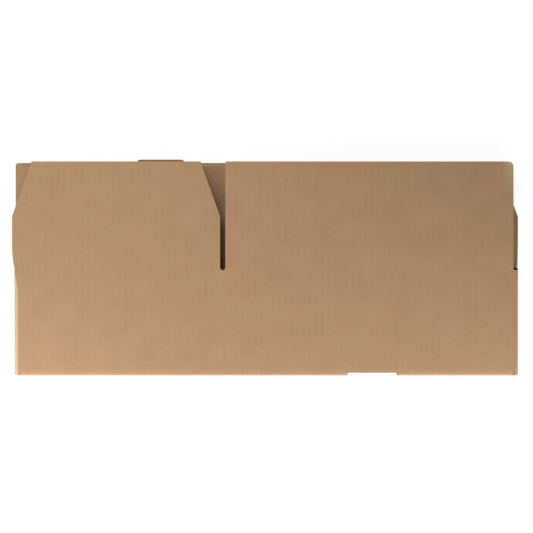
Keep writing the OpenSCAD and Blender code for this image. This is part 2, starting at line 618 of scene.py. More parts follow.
def add_node(
    tree: bpy.types.NodeTree, kind: str, inputs: dict[Any, Any] | None = None, **settings: Any
) -> bpy.types.Node:
    """Adds one shader node.

    Args:
        tree: Node tree of a material or a world.
        kind: Class of the node.
        inputs: For each socket, a constant or the output that feeds it.
        settings: Values of its own options.

    Returns:
        The new node.
    """
    node = tree.nodes.new(kind)
    for option, value in settings.items():
        setattr(node, option, value)
    for socket, value in (inputs or {}).items():
        if isinstance(value, bpy.types.NodeSocket):
            tree.links.new(value, node.inputs[socket])
        else:
            node.inputs[socket].default_value = value
    return node


def new_material(name: str) -> bpy.types.Material:
    """A material with an empty node tree.

    Args:
        name: Its name.

    Returns:
        The new material.
    """
    material = bpy.data.materials.new(name)
    material.use_nodes = True
    material.node_tree.nodes.clear()
    return material


@dataclass(frozen=True)
class KraftLiner:
    """Brown kraft linerboard, machine made and calendered.

    The eye sees a dull even brown with soft clouds of pulp, short fibres along the machine
    direction, a few dark flecks, and a trace of the flutes beneath. Where it is stretched
    round a fold or bruised it turns paler. The same pale tone paints light on the side
    folds' sloping faces and the bruised corner, and along the back long flap's inner free edge.
    """

    name: str = "kraft_linerboard_calendered"
    dark: str = "#b18a64"
    light: str = "#c19b75"
    warm: str = "#bf9068"
    fleck: str = "#8a6544"
    # Pale tone of stretched and bruised paper, also used as painted light.
    pale_tone: str = "#e6c8a2"
    ior: float = 1.5
    rough_least: float = 0.74
    rough_most: float = 0.88
    cloud_mm: float = 26.0
    tint_mm: float = 17.0
    tint_seed: float = 3.7
    warm_from: float = 0.45
    warm_share: float = 0.25
    # Real fibres are 0.03 mm wide, so they are drawn coarse enough to show at a pixel a millimetre.
    fibre_long_mm: float = 4.5
    fibre_wide_mm: float = 1.3
    fibre_share: float = 0.58
    fleck_mm: float = 9.0
    fleck_size: float = 0.055
    fleck_core: float = 0.6
    fleck_share: float = 0.5
    flute_tone: float = 0.025
    flute_relief: float = 0.12
    pale_tone_least: float = 0.75
    bump: float = 0.12
    bump_mm: float = 0.25

    def build(self) -> bpy.types.Material:
        """Makes the material.

        Returns:
            The new material.
        """
        material = new_material(self.name)
        tree = material.node_tree
        uv = add_node(tree, "ShaderNodeTexCoord").outputs["UV"]
        cloud = add_node(tree, "ShaderNodeTexNoise", {
            "Vector": uv, "Scale": 1 / (self.cloud_mm * MM), "Detail": 4.0, "Roughness": 0.55,
        })
        tint = add_node(tree, "ShaderNodeTexNoise", {
            "Vector": uv, "W": self.tint_seed, "Scale": 1 / (self.tint_mm * MM), "Detail": 2.0,
        }, noise_dimensions="4D")
        stretched = add_node(tree, "ShaderNodeMapping", {
            "Vector": uv,
            "Scale": (1 / (self.fibre_long_mm * MM), 1 / (self.fibre_wide_mm * MM), 1.0),
        })
        fibre = add_node(tree, "ShaderNodeTexNoise", {
            "Vector": stretched.outputs[0], "Scale": 1.0, "Detail": 5.0, "Roughness": 0.65,
        })
        across = add_node(tree, "ShaderNodeSeparateXYZ", {0: uv})
        phase = add_node(tree, "ShaderNodeMath", {
            0: across.outputs["X"], 1: 2 * math.pi / (BOARD.pitch * MM),
        }, operation="MULTIPLY")
        flute = add_node(tree, "ShaderNodeMath", {0: phase.outputs[0]}, operation="COSINE")
        grain = add_node(tree, "ShaderNodeMix", {
            "Factor": self.fibre_share, "A": cloud.outputs[0], "B": fibre.outputs[0],
        })
        ridge = add_node(tree, "ShaderNodeMath", {
            0: flute.outputs[0], 1: self.flute_tone, 2: grain.outputs[0],
        }, operation="MULTIPLY_ADD")
        tone = add_node(tree, "ShaderNodeMapRange", {
            "Value": ridge.outputs[0], "From Min": NOISE_LOW, "From Max": NOISE_HIGH,
        })
        brown = add_node(tree, "ShaderNodeMix", {
            "Factor": tone.outputs[0], MIX_A: linear(self.dark), MIX_B: linear(self.light),
        }, data_type="RGBA")
        warmth = add_node(tree, "ShaderNodeMapRange", {
            "Value": tint.outputs[0], "From Min": self.warm_from, "From Max": NOISE_HIGH,
            "To Max": self.warm_share,
        })
        tinted = add_node(tree, "ShaderNodeMix", {
            "Factor": warmth.outputs[0], MIX_A: brown.outputs[MIX_RESULT], MIX_B: linear(self.warm),
        }, data_type="RGBA")
        spots = add_node(tree, "ShaderNodeTexVoronoi", {
            "Vector": uv, "Scale": 1 / (self.fleck_mm * MM),
        })
        speck = add_node(tree, "ShaderNodeMapRange", {
            "Value": spots.outputs["Distance"], "From Min": self.fleck_size * self.fleck_core,
            "From Max": self.fleck_size, "To Min": self.fleck_share, "To Max": 0.0,
        })
        flecked = add_node(tree, "ShaderNodeMix", {
            "Factor": speck.outputs[0], MIX_A: tinted.outputs[MIX_RESULT], MIX_B: linear(self.fleck),
        }, data_type="RGBA")
        # Mixes in the pale tone: wear on the folds and the bruised corner, and painted light on the side
        # folds, the bruised corner and the back long flap's inner free edge.
        pallor = add_node(tree, "ShaderNodeAttribute", attribute_name="wear_and_painted_light")
        patchy = add_node(tree, "ShaderNodeMapRange", {
            "Value": fibre.outputs[0], "From Min": NOISE_LOW, "From Max": NOISE_HIGH,
            "To Min": self.pale_tone_least,
        })
        pale = add_node(tree, "ShaderNodeMath", {
            0: pallor.outputs["Fac"], 1: patchy.outputs[0],
        }, operation="MULTIPLY", use_clamp=True)
        colour = add_node(tree, "ShaderNodeMix", {
            "Factor": pale.outputs[0], MIX_A: flecked.outputs[MIX_RESULT], MIX_B: linear(self.pale_tone),
        }, data_type="RGBA")
        relief = add_node(tree, "ShaderNodeMath", {
            0: flute.outputs[0], 1: self.flute_relief, 2: fibre.outputs[0],
        }, operation="MULTIPLY_ADD")
        bump = add_node(tree, "ShaderNodeBump", {
            "Strength": self.bump, "Distance": self.bump_mm * MM, "Height": relief.outputs[0],
        })
        dull = add_node(tree, "ShaderNodeMapRange", {
            "Value": fibre.outputs[0], "From Min": NOISE_LOW, "From Max": NOISE_HIGH,
            "To Min": self.rough_least, "To Max": self.rough_most,
        })
        shader = add_node(tree, "ShaderNodeBsdfPrincipled", {
            "Base Color": colour.outputs[MIX_RESULT], "Roughness": dull.outputs[0],
            "IOR": self.ior, "Normal": bump.outputs[0],
        })
        add_node(tree, "ShaderNodeOutputMaterial", {"Surface": shader.outputs[0]})
        return material


@dataclass(frozen=True)
class PlainPaper:
    """Raw paper with a fine grain: the fuzzy die-cut edge of the board, or the fluting inside it.

    The eye sees a matt edge a little paler than the liner, or a duller recycled brown in
    the hollow of the flutes.
    """

    name: str
    dark: str
    light: str
    grain_mm: float
    rough: float = 0.92
    ior: float = 1.5
    bump: float = 0.2
    bump_mm: float = 0.2

    def build(self) -> bpy.types.Material:
        """Makes the material.

        Returns:
            The new material.
        """
        material = new_material(self.name)
        tree = material.node_tree
        uv = add_node(tree, "ShaderNodeTexCoord").outputs["UV"]
        grain = add_node(tree, "ShaderNodeTexNoise", {
            "Vector": uv, "Scale": 1 / (self.grain_mm * MM), "Detail": 4.0, "Roughness": 0.6,
        })
        tone = add_node(tree, "ShaderNodeMapRange", {
            "Value": grain.outputs[0], "From Min": NOISE_LOW, "From Max": NOISE_HIGH,
        })
        colour = add_node(tree, "ShaderNodeMix", {
            "Factor": tone.outputs[0], MIX_A: linear(self.dark), MIX_B: linear(self.light),
        }, data_type="RGBA")
        bump = add_node(tree, "ShaderNodeBump", {
            "Strength": self.bump, "Distance": self.bump_mm * MM, "Height": grain.outputs[0],
        })
        shader = add_node(tree, "ShaderNodeBsdfPrincipled", {
            "Base Color": colour.outputs[MIX_RESULT], "Roughness": self.rough, "IOR": self.ior,
            "Normal": bump.outputs[0],
        })
        add_node(tree, "ShaderNodeOutputMaterial", {"Surface": shader.outputs[0]})
        return material


@dataclass(frozen=True)
class Finishes:
    """The three papers that the whole carton is made of."""

    liner: KraftLiner = KraftLiner()
    cut: PlainPaper = PlainPaper("kraft_board_die_cut_edge", "#b58c62", "#cda67b", 0.9)
    fluting: PlainPaper = PlainPaper("recycled_fluting_corrugated", "#8f6c4a", "#a9845e", 1.6)

    def build(self) -> list[bpy.types.Material]:
        """Makes the materials in the order of Face."""
        return [self.liner.build(), self.cut.build(), self.fluting.build()]


def front_flat(run: Array, row: Array, depth: Array) -> Point:
    """A point of the front ply, sunk a little towards the bottom fold."""
    return run, row, BLANK.stack - depth - roll(row)


def back_flat(run: Array, row: Array, depth: Array) -> Point:
    """A point of the back ply, which lies on the table."""
    return run, row, depth


def layer(height: float, faces_up: bool) -> Place:
    """Places a flat piece inside the tube, by the height of its outer face."""
    sign = -1.0 if faces_up else 1.0
    return lambda run, row, depth: (run, row, height + sign * depth)


@dataclass
class SideFold:
    """A side fold of the tube, creased along its middle, with a sloping face on both plies.

    The sloping faces narrow towards the slot between the top flaps, where the flaps hold the
    board flat. The tongue is the stretch of the back panel that runs on past the slot's end to
    its own score.
    """

    side: Side
    facet: float
    slot_facet: float
    knee_r: float
    tip_r: float
    pale: float
    tongue: float = 0.0
    tongue_w: float = 5.0
    tongue_rise: float = 0.8
    slot_knee_r: float = 0.8
    inner_knee_r: float = 0.3
    inner_tip_r: float = 0.4
    steps: int = 5
    narrowing: float = 24.0
    knee_fade: float = 0.5
    foot: float = 0.4
    slot_r: float = 1.2
    rows: Sequence[float] = (
        0.0, 0.01, 0.025, 0.04, 0.06, 0.08, 0.3, 0.6, 0.78, 0.83, 0.88, 0.94, 1.0
    )
    section: Section = field(init=False)
    at_slot: Section = field(init=False)

    def __post_init__(self) -> None:
        """Works out the section of the fold and the one at its slot."""
        self.section = self.shape(self.facet, self.knee_r)
        self.at_slot = self.shape(self.slot_facet, min(self.knee_r, self.slot_knee_r))

    def shape(self, facet: float, knee_r: float) -> Section:
        """The fold seen from its end, from the front ply round to the back ply.

        Args:
            facet: Width of the sloping face beside the fold line, seen from above.
            knee_r: Rounding where a panel turns into the sloping face.

        Returns:
            The section, its first coordinate counted inwards from the fold line.
        """
        edge, top, half, t = BLANK.corner, BLANK.stack, BLANK.stack / 2, BOARD.thick
        tip_in = t * math.hypot(facet, half) / half
        knee_in = tip_in + facet * (half - t) / half
        outer = [(edge, top), (facet, top), (0.0, half), (facet, 0.0), (edge, 0.0)]
        inner = [(edge, top - t), (knee_in, top - t), (tip_in, half), (knee_in, t), (edge, t)]
        inner_radii = (self.inner_knee_r, self.inner_tip_r, self.inner_knee_r)
        return Section(
            filleted(outer, (knee_r, self.tip_r, knee_r), self.steps),
            filleted(inner, inner_radii, self.steps),
        )

    def across(self, inward: Array) -> Array:
        """Turns a distance in from the fold line into a place across the carton."""
        return inward if self.side is Side.LEFT else BLANK.total_w - inward

    def run_at(self, inward: float, ply: Ply) -> float:
        """Length along the fold at which a flap's edge meets the end of the slot.

        Args:
            inward: Distance of the edge from the fold line.
            ply: Front or back.

        Returns:
            Length along the section, from the front ply.
        """
        half = len(self.at_slot.run) // 2
        station = np.interp(-inward, -self.at_slot.outer[:half, 0], np.arange(half))
        run = float(np.interp(station, np.arange(len(self.section.run)), self.section.run))
        return run if ply is Ply.FRONT else self.section.length - run

    def place(self, run: Array, row: Array, depth: Array) -> Point:
        """A point of the fold.

        Args:
            run: Length along the section, from the front ply.
            row: Height above the bottom edge.
            depth: Depth below the outer face.

        Returns:
            The point's coordinates.
        """
        number = self.section.station(run)
        inward, height = self.section.at_station(number, depth)
        slot_inward, slot_height = self.at_slot.at_station(number, depth)
        share = ease((row - BLANK.slot_end + self.narrowing) / self.narrowing)
        inward = inward + (slot_inward - inward) * share
        height = height + (slot_height - height) * share
        return self.across(inward), row, height * (1 - roll(row) / BLANK.stack)

    def pallor(self, run: Array, row: Array, depth: Array) -> Array:
        """How pale the liner is, full between the two knees: stretched paper, and painted light on the
        sloping faces, more on the left fold.

        Args:
            run: Length along the section, from the front ply.
            row: Height above the bottom edge.
            depth: Depth below the outer face.

        Returns:
            The paleness of each point.
        """
        from_knee = np.minimum(run, self.section.length - run) - (BLANK.corner - self.facet)
        between = np.clip(from_knee / self.knee_fade + 0.5, 0.0, 1.0)
        return self.pale * between * BOARD.outer_share(depth)

    def draw(self, mesh: BoardMesh, flap_front: float, flap_back: float) -> None:
        """Adds the fold, with the end of the slot between its two flaps.

        Args:
            mesh: The piece to add to.
            flap_front: How far in from the fold line the front flap starts at its heel.
            flap_back: The same for the back flap.
        """
        knots = self.section.run
        wall = Outline(knots, level(self.foot), level(BLANK.wall_top), shares=self.rows)
        mesh.board(wall, self.place, self.pallor)
        first, last = self.run_at(flap_front, Ply.FRONT), self.run_at(flap_back, Ply.BACK)
        start = self.section.length / 2
        end = start + self.tongue_w

        def slot_end(run: Array) -> Array:
            """Lower end of the slot, rounded into the flaps' edges.

            Args:
                run: Lengths along the section.

            Returns:
                Where the board ends at each length.
            """
            past = ease((run - start) / self.tongue_rise) * ease((end - run) / self.tongue_rise)
            round_in = corner_drop(np.minimum(run - first, last - run), self.slot_r)
            return BLANK.slot_end + round_in + self.tongue * past

        rise = np.linspace(0, self.tongue_rise, 5)
        inside = merged(knots, start + rise, end - rise)
        inside = inside[(inside > first + self.slot_r) & (inside < last - self.slot_r)]
        arc = corner_runs(self.slot_r)
        stations = merged(first + arc, inside, last - arc)
        mesh.board(Outline(stations, level(BLANK.wall_top), slot_end), self.place, self.pallor)


# The folds' paleness is part stretched paper and part painted light on their sloping faces; the left fold,
# which takes the most light, is painted paler.
LEFT_FOLD = SideFold(Side.LEFT, facet=6.0, slot_facet=2.7, knee_r=1.0, tip_r=1.6, pale=0.8)
RIGHT_FOLD = SideFold(
    Side.RIGHT, facet=4.2, slot_facet=3.2, knee_r=3.6, tip_r=1.4, pale=0.6, tongue=2.2
)


@dataclass(frozen=True)
class BottomFold:
    """The tight fold along the bottom of a panel, from the panel round to its bottom flap."""

    reach: float = 3.0
    steps: int = 13
    crease: float = 3.3
    crease_dip: float = 0.2
    panel_rows: Sequence[float] = (60.0, 30.0, 14.0, 9.0, 7.0, 5.0, 4.0)
    flap_rows: Sequence[float] = (4.5, 6.0, PLY_SPLIT)
    pale: float = 0.15
    pale_below: float = 2.6
    column_w: float = 12.0

    def section(self, ply: Ply, lift: float) -> Section:
        """The panel and its fold seen from the end.

        Args:
            ply: Front or back.
            lift: How far the fold lies above the bottom edge.

        Returns:
            The section, in height above the bottom edge and height above the table.
        """
        top, low, t = BLANK.stack, BLANK.z_main, BOARD.thick
        panel = np.array([BLANK.wall_top - lift, *self.panel_rows])
        high = top - float(roll(np.array(self.reach)))
        turn = np.linspace(0, np.pi, self.steps)
        flap = np.full(len(self.flap_rows), low)
        round_y = self.reach - self.reach * np.sin(turn)
        round_z = (high + low) / 2 + (high - low) / 2 * np.cos(turn)
        outer = np.stack([
            np.concatenate([panel, round_y, self.flap_rows]),
            np.concatenate([top - roll(panel), round_z, flap]),
        ], axis=1)
        in_high, in_low = high - t, low + t
        in_y = self.crease - self.crease_dip * np.sin(turn)
        in_z = (in_high + in_low) / 2 + (in_high - in_low) / 2 * np.cos(turn)
        inner = np.stack([
            np.concatenate([panel, in_y, self.flap_rows]),
            np.concatenate([top - t - roll(panel), in_z, flap + t]),
        ], axis=1)
        if ply is Ply.BACK:
            for line in (outer, inner):
                line[:, 0] += lift
                line[:, 1] = BLANK.stack - line[:, 1]
        return Section(outer, inner)

    def draw(self, mesh: BoardMesh, ply: Ply, start: float, end: float) -> None:
        """Adds a stretch of panel with its fold.

        Args:
            mesh: The piece to add to.
            ply: Front or back.
            start: Left end of the stretch.
            end: Right end of the stretch.
        """
        lift = 0.0 if ply is Ply.FRONT else BLANK.back_raise
        section = self.section(ply, lift)
        outline = Outline(
            knots=np.linspace(start, end, max(3, int((end - start) / self.column_w))),
            low=level(0.0),
            high=level(section.length),
            fixed=section.run,
            shares=(0.0,),
        )

        def place(run: Array, row: Array, depth: Array) -> Point:
            """A point of the panel or of its fold."""
            up, height = section.at(row, depth)
            return run, up, height

        def pallor(run: Array, row: Array, depth: Array) -> Array:
            """Pale where the liner is stretched round the fold.

            Args:
                run: Stations across the panel.
                row: Lengths along the section.
                depth: Depths below the outer face.

            Returns:
                The paleness of each point.
            """
            up, _ = section.at(row, depth)
            near = np.clip((self.pale_below + lift - up) / self.pale_below, 0.0, 1.0)
            return self.pale * near * BOARD.outer_share(depth)

        mesh.board(outline, place, pallor)


@dataclass
class Sleeve:
    """The tube: four panels, two side folds, the seam and the bottom folds."""

    fold: BottomFold = BottomFold()
    strip_rows: Sequence[float] = (0.0, 0.01, 0.02, 0.03, 0.045, 0.06, 0.08, 0.3, 1.0)

    def strip(
        self, mesh: BoardMesh, ply: Ply, knots: Array, low: Edge, sink: Edge = level(0.0)
    ) -> None:
        """Adds a flat stretch of panel with no fold below it, up to the top of the walls.

        Args:
            mesh: The piece to add to.
            ply: Front or back.
            knots: Stations across it.
            low: Its lower edge.
            sink: Depth of a score pressed into it.
        """
        flat = front_flat if ply is Ply.FRONT else back_flat

        def place(run: Array, row: Array, depth: Array) -> Point:
            """A point of the stretch."""
            return flat(run, row, depth + sink(run) * BOARD.outer_share(depth))

        mesh.board(Outline(knots, low, level(BLANK.wall_top), shares=self.strip_rows), place)

    def front(self, mesh: BoardMesh) -> None:
        """Adds the two front panels, with the score between them, the lock slot and a flap slot.

        Args:
            mesh: The piece to add to.
        """
        split_left, split_right = BLANK.short_w - BLANK.flap_split, BLANK.short_w + BLANK.flap_split
        lock = lock_knots()
        self.fold.draw(mesh, Ply.FRONT, BLANK.corner, split_left)
        self.fold.draw(mesh, Ply.FRONT, split_right, lock[0])
        self.fold.draw(mesh, Ply.FRONT, lock[-1], BLANK.total_w - BLANK.corner)

        def score(run: Array) -> Array:
            """Depth of the score between the two front panels."""
            return SCORE_DEPTH * np.cos(np.pi / 2 * (run - BLANK.short_w) / BLANK.flap_split) ** 2

        between = np.linspace(split_left, split_right, 9)
        self.strip(mesh, Ply.FRONT, between, level(BLANK.cut_in), score)
        self.strip(mesh, Ply.FRONT, lock, lock_edge)
        half = BLANK.slot_w / 2
        middle = BLANK.slot_left + half

        def slot_end(run: Array) -> Array:
            """Round lower end of the slot between the front flaps."""
            return BLANK.slot_end + corner_drop(half - np.abs(run - middle), half)

        arc = middle - half * np.cos(np.linspace(0, np.pi, 2 * CORNER_STEPS))
        mesh.board(Outline(arc, level(BLANK.wall_top), slot_end), front_flat)

    def back(self, mesh: BoardMesh) -> None:
        """Adds the two back panels, which meet in a butt seam.

        Args:
            mesh: The piece to add to.
        """
        self.fold.draw(mesh, Ply.BACK, BLANK.corner, BLANK.base_right)
        self.fold.draw(mesh, Ply.BACK, BLANK.lap_end, BLANK.total_w - BLANK.corner)
        low, high, end = (
            level(y) for y in (BLANK.back_raise + BLANK.cut_in, BLANK.wall_top, BLANK.slot_end)
        )
        seam_left, seam_right = BLANK.long_w, BLANK.long_w + BLANK.seam_gap
        self.strip(mesh, Ply.BACK, np.linspace(BLANK.base_right, seam_left, 3), low)
        self.strip(mesh, Ply.BACK, np.linspace(seam_right, BLANK.lap_end, 5), low)
        for start, stop in (
            (BLANK.back_long_right, seam_left),
            (seam_right, BLANK.back_short_left),
        ):
            mesh.board(Outline(np.linspace(start, stop, 3), high, end), back_flat)

    def build(self, finishes: Sequence[bpy.types.Material]) -> bpy.types.Object:
        """Builds the walls.

        Args:
            finishes: Materials in the order of Face.

        Returns:
            The piece.
        """
        mesh = BoardMesh()
        self.front(mesh)
        self.back(mesh)
        LEFT_FOLD.draw(mesh, LEFT_FOLD.slot_facet, LEFT_FOLD.slot_facet)
        RIGHT_FOLD.draw(mesh, BLANK.long_flap_in, RIGHT_FOLD.slot_facet)
        piece = mesh.build("sleeve_walls", finishes)
        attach(piece, "sleeve")
        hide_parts("sleeve")
        return piece


@dataclass
class BasePanel:
    """The base panel folded up from the back long panel, with its lock tab."""

    heel_knee: float = 2.0
    # Two stations this far to each side of a line draw a square step.
    hair: float = 0.005
    rows: Sequence[float] = (0.0, 0.25, 0.5, 0.75, 0.97, 1.0)

    def high(self, run: Array) -> Array:
        """Free edge, with the tab standing proud of it.

        Args:
            run: Stations across the panel.

        Returns:
            Where the board ends at each station.
        """
        from_end = BLANK.tab_w / 2 - np.abs(run - BLANK.long_w / 2)
        tab = BLANK.base_top + BLANK.tab_len - corner_drop(from_end, BLANK.tab_r)
        return np.where(from_end >= 0, tab, BLANK.base_top)

    def low(self, run: Array) -> Array:
        """Lower edge: the bottom fold, or the heel cut back at the left.

        Args:
            run: Stations across the panel.

        Returns:
            Where the board starts at each station.
        """
        knee = BLANK.base_heel - self.heel_knee
        heel = np.interp(
            run,
            [BLANK.base_in, knee, BLANK.base_heel],
            [BLANK.base_heel_y, BLANK.panel_h, BLANK.back_raise + BLANK.tight_r],
        )
        return np.where(run < BLANK.corner, heel, PLY_SPLIT + BLANK.back_raise)

    def knots(self) -> Array:
        """Stations across the panel, close together at its heel and its tab.

        Returns:
            The stations.
        """
        hair, bend = self.hair, corner_runs(BLANK.tab_r)
        knee = BLANK.base_heel - self.heel_knee
        left, right = (BLANK.long_w - BLANK.tab_w) / 2, (BLANK.long_w + BLANK.tab_w) / 2
        return merged(
            [BLANK.base_in, (BLANK.base_in + knee) / 2, knee, BLANK.corner - hair],
            np.linspace(BLANK.corner + hair, left - hair, 9),
            left + hair + bend,
            np.linspace(left + CORNER_CLEAR, right - CORNER_CLEAR, 4),
            right - hair - bend,
            np.linspace(right + hair, BLANK.base_right, 9),
        )

    def build(self, finishes: Sequence[bpy.types.Material]) -> bpy.types.Object:
        """Builds the panel.

        Args:
            finishes: Materials in the order of Face.

        Returns:
            The piece.
        """
        mesh = BoardMesh()
        outline = Outline(self.knots(), self.low, self.high, shares=self.rows)
        mesh.board(outline, layer(BLANK.z_base + BOARD.thick, True), grain=Grain.BASE)
        piece = mesh.build("base_panel", finishes)
        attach(piece, "sleeve")
        return piece


@dataclass
class SideFlap:
    """A bottom flap of a short panel: its flat part, its diagonal fold and its glue wing.

    It is drawn from the corner of the tube that it grows from, so that of the back ply is
    mirrored. Past the diagonal score, points are counted along the score and out from it.
    """

    ply: Ply
    root: float = 0.42
    root_clear: float = 1.0
    end_in: float = 0.5
    wing_in: float = 0.3
    wing_tip: float = 2.0
    fold_in: float = 1.0
    crease: float = 0.02
    pinch: float = 0.27
    fold_steps: int = 11
    flat_z: float = field(init=False)
    wing_z: float = field(init=False)
    flat_w: float = field(init=False)
    lift: float = field(init=False)

    def __post_init__(self) -> None:
        """Works out what differs between the two flaps."""
        over, under = BLANK.z_main, BLANK.z_base
        bed = BOARD.thick - BLANK.glue
        if self.ply is Ply.FRONT:
            self.flat_z, self.wing_z, self.lift = over, under + bed, 0.0
            self.flat_w = BLANK.short_w - BLANK.flap_split
        else:
            self.flat_z, self.wing_z, self.lift = under, over - bed, BLANK.back_raise
            self.flat_w = BLANK.total_w - BLANK.lap_end

    @property
    def radius(self) -> float:
        """Outer radius of the diagonal fold."""
        return (abs(self.flat_z - self.wing_z) + BOARD.thick) / 2

    @property
    def reach(self) -> float:
        """How far the diagonal fold bulges past its flat parts, along a panel's edge."""
        return self.radius * math.sqrt(2)

    @property
    def length(self) -> float:
        """Length of the diagonal score."""
        return (BLANK.side_depth - self.reach - BLANK.wing_y) * math.sqrt(2)

    @property
    def wing_deep(self) -> float:
        """How far the glue wing stands out from the diagonal score."""
        return min(BLANK.wing_w - self.radius, self.length / 2 - self.wing_tip)

    def mirrored(self, across: Array) -> Array:
        """Place across the carton, counted from the corner that the flap grows from."""
        return across if self.ply is Ply.FRONT else BLANK.total_w - across

    def flat(self, run: Array, row: Array, depth: Array) -> Point:
        """A point of the flat part."""
        inside = depth if self.ply is Ply.FRONT else BOARD.thick - depth
        return self.mirrored(run), row + self.lift, self.flat_z + inside

    def far_edge(self, run: Array) -> Array:
        """Far edge of the flat part: the diagonal score, the free edge and the tapered end.

        Args:
            run: Stations along the panel, from the corner.

        Returns:
            Where the board ends at each station.
        """
        root, top = BLANK.tight_r, BLANK.side_depth
        ends = (self.flat_w - run) / BLANK.taper * (top - root) + root
        return np.minimum(np.minimum(run - self.reach - self.root, top), ends)

    def turned(self, along: Array, out: Array, height: Array) -> Point:
        """A point given along and out from the diagonal score.

        Args:
            along: Length along the score.
            out: Distance out from it.
            height: Height above the table.

        Returns:
            The point's coordinates.
        """
        across = BLANK.side_depth + (out - along) * math.sqrt(0.5)
        up = BLANK.side_depth - self.reach - (out + along) * math.sqrt(0.5)
        return self.mirrored(across), up + self.lift, height

    def wing(self, run: Array, row: Array, depth: Array) -> Point:
        """A point of the glue wing."""
        return self.turned(run, row, self.wing_z + depth)

    def wing_edge(self, run: Array) -> Array:
        """Far edge of the wing, its ends cut square to the panels."""
        return np.minimum(np.minimum(run, self.length - run), self.wing_deep) + self.wing_in

    def bend(self, run: Array, turn: Array, depth: Array) -> Point:
        """A point of the diagonal fold, its board squeezed on the inside.

        Args:
            run: Length along the score.
            turn: Angle round the fold.
            depth: Depth below the outer face.

        Returns:
            The point's coordinates.
        """
        far = self.radius - self.crease - depth * (self.radius - self.pinch) / self.radius
        middle = (self.flat_z + self.wing_z + BOARD.thick) / 2
        return self.turned(run, self.wing_in - far * np.sin(turn), middle + far * np.cos(turn))

    def draw(self, mesh: BoardMesh) -> None:
        """Adds the flat part, the wing and the fold between them.

        Args:
            mesh: The piece to add to.
        """
        start = self.reach + self.root
        knots = merged(
            np.linspace(PLY_SPLIT + start + self.root_clear, BLANK.side_depth + start, 6),
            np.linspace(BLANK.side_depth + start, self.flat_w - BLANK.taper, 4),
            [self.flat_w - self.end_in],
        )
        flat = Outline(knots, level(PLY_SPLIT), self.far_edge)
        mesh.board(flat, self.flat, grain=Grain.SIDE_FLAP)
        near = np.array([self.end_in, self.wing_deep / 2, self.wing_deep])
        wing = Outline(merged(near, self.length - near), level(self.wing_in), self.wing_edge)
        mesh.board(wing, self.wing, grain=Grain.WING)
        turns = np.linspace(0, np.pi, self.fold_steps)
        along = np.linspace(self.fold_in, self.length - self.fold_in, 5)
        fold = Outline(along, level(0.0), level(np.pi), fixed=turns, shares=(0.0,))
        mesh.board(fold, self.bend, grain=Grain.DIAGONAL)


@dataclass
class BottomFlaps:
    """The bottom flaps inside the tube: two side flaps with glue wings, the long flap, the seam lap."""

    end_in: float = 0.5
    lap_edge: float = 6.0
    lap_bevel: float = 6.0
    lap_root: float = 3.0

    def long_flap(self, mesh: BoardMesh) -> None:
        """Adds the bottom flap of the front long panel, cut by the lock slot.

        Args:
            mesh: The piece to add to.
        """
        left, right = BLANK.short_w + BLANK.flap_split, BLANK.total_w - BLANK.corner
        top, root = BLANK.inner_depth, BLANK.tight_r

        def high(run: Array) -> Array:
            """Free edge and its two tapered ends."""
            from_end = np.minimum(run - left, right - run)
            return np.minimum(root + from_end / BLANK.taper * (top - root), top)

        knots = merged(
            [left + self.end_in],
            np.linspace(left + BLANK.taper, right - BLANK.taper, 12),
            [right - self.end_in],
        )
        under = layer(BLANK.z_main, False)
        mesh.board(Outline(knots, level(PLY_SPLIT), high), under, grain=Grain.LONG_FLAP)
        lock = Outline(lock_knots(), lock_edge, level(PLY_SPLIT))
        mesh.board(lock, under, grain=Grain.LONG_FLAP)

    def seam_lap(self, mesh: BoardMesh) -> None:
        """Adds the lap that is glued inside the back short panel.

        Args:
            mesh: The piece to add to.
        """

        def slant(run: Array) -> Array:
            """How far the bevel has come in."""
            return np.clip((run - BLANK.long_w) / BLANK.seam_lap, 0.0, 1.0) * self.lap_bevel

        def low(run: Array) -> Array:
            """Lower edge of the lap."""
            return BLANK.back_raise + self.lap_edge + slant(run)

        def high(run: Array) -> Array:
            """Upper edge of the lap."""
            return BLANK.panel_h - self.lap_edge - slant(run)

        past = np.array([-self.lap_root, 0.0, BLANK.seam_lap / 2, BLANK.seam_lap])
        lap = layer(BOARD.thick - BLANK.glue, False)
        mesh.board(Outline(BLANK.long_w + past, low, high), lap, grain=Grain.LAP)

    def build(self, finishes: Sequence[bpy.types.Material]) -> bpy.types.Object:
        """Builds the flaps inside the tube.

        Args:
            finishes: Materials in the order of Face.

        Returns:
            The piece.
        """
        mesh = BoardMesh()
        SideFlap(Ply.FRONT).draw(mesh)
        SideFlap(Ply.BACK).draw(mesh)
        self.long_flap(mesh)
        self.seam_lap(mesh)
        piece = mesh.build("bottom_flaps", finishes)
        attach(piece, "sleeve")
        return piece


@dataclass(frozen=True)
class Heel:
    """Side edge of a flap beside a side fold, cut back towards its root."""

    side: Side
    root_in: float
    cut_in: float
    length: float
    fade: float = 26.0
    curl: float = 1.3
    settle: float = 1.0

    def shift(self, from_edge: Array, past: Array) -> Array:
        """How far a point is drawn in from where the straight edge would have it.

        Args:
            from_edge: Distance from the straight edge.
            past: Distance past the score.

        Returns:
            Distance across the flap, away from the edge.
        """
        up = np.sin(np.pi / 2 * np.clip(past / self.length, 0.0, 1.0))
        curved = self.cut_in * (1 - up) ** self.curl
        near = ease((past + BLANK.slot_past) / (BLANK.slot_past + self.settle))
        depth = self.root_in + (curved - self.root_in) * near
        return depth * np.clip(1 - from_edge / self.fade, 0.0, 1.0)


@dataclass(frozen=True)
class BruiseAndPaintedLight:
    """A knocked corner: pressed down a little, and its outer liner paler, part crushed paper and part
    painted light against the shade of the sunk corner.
    """

    depth: float = 0.4
    reach: float = 15.0
    # Paleness of the outer liner: crushed paper and painted light.
    pale: float = 0.9


@dataclass(frozen=True)
class PaintedLightBand:
    """Painted light: an inner liner painted paler along its free edge, but for its rounded corner, so that
    a narrow strip left in shade looks lit. No rubbing is known there.
    """

    band: float = 5.5
    from_corner: float = 3.0
    fade: float = 4.0
    pale: float = 0.8


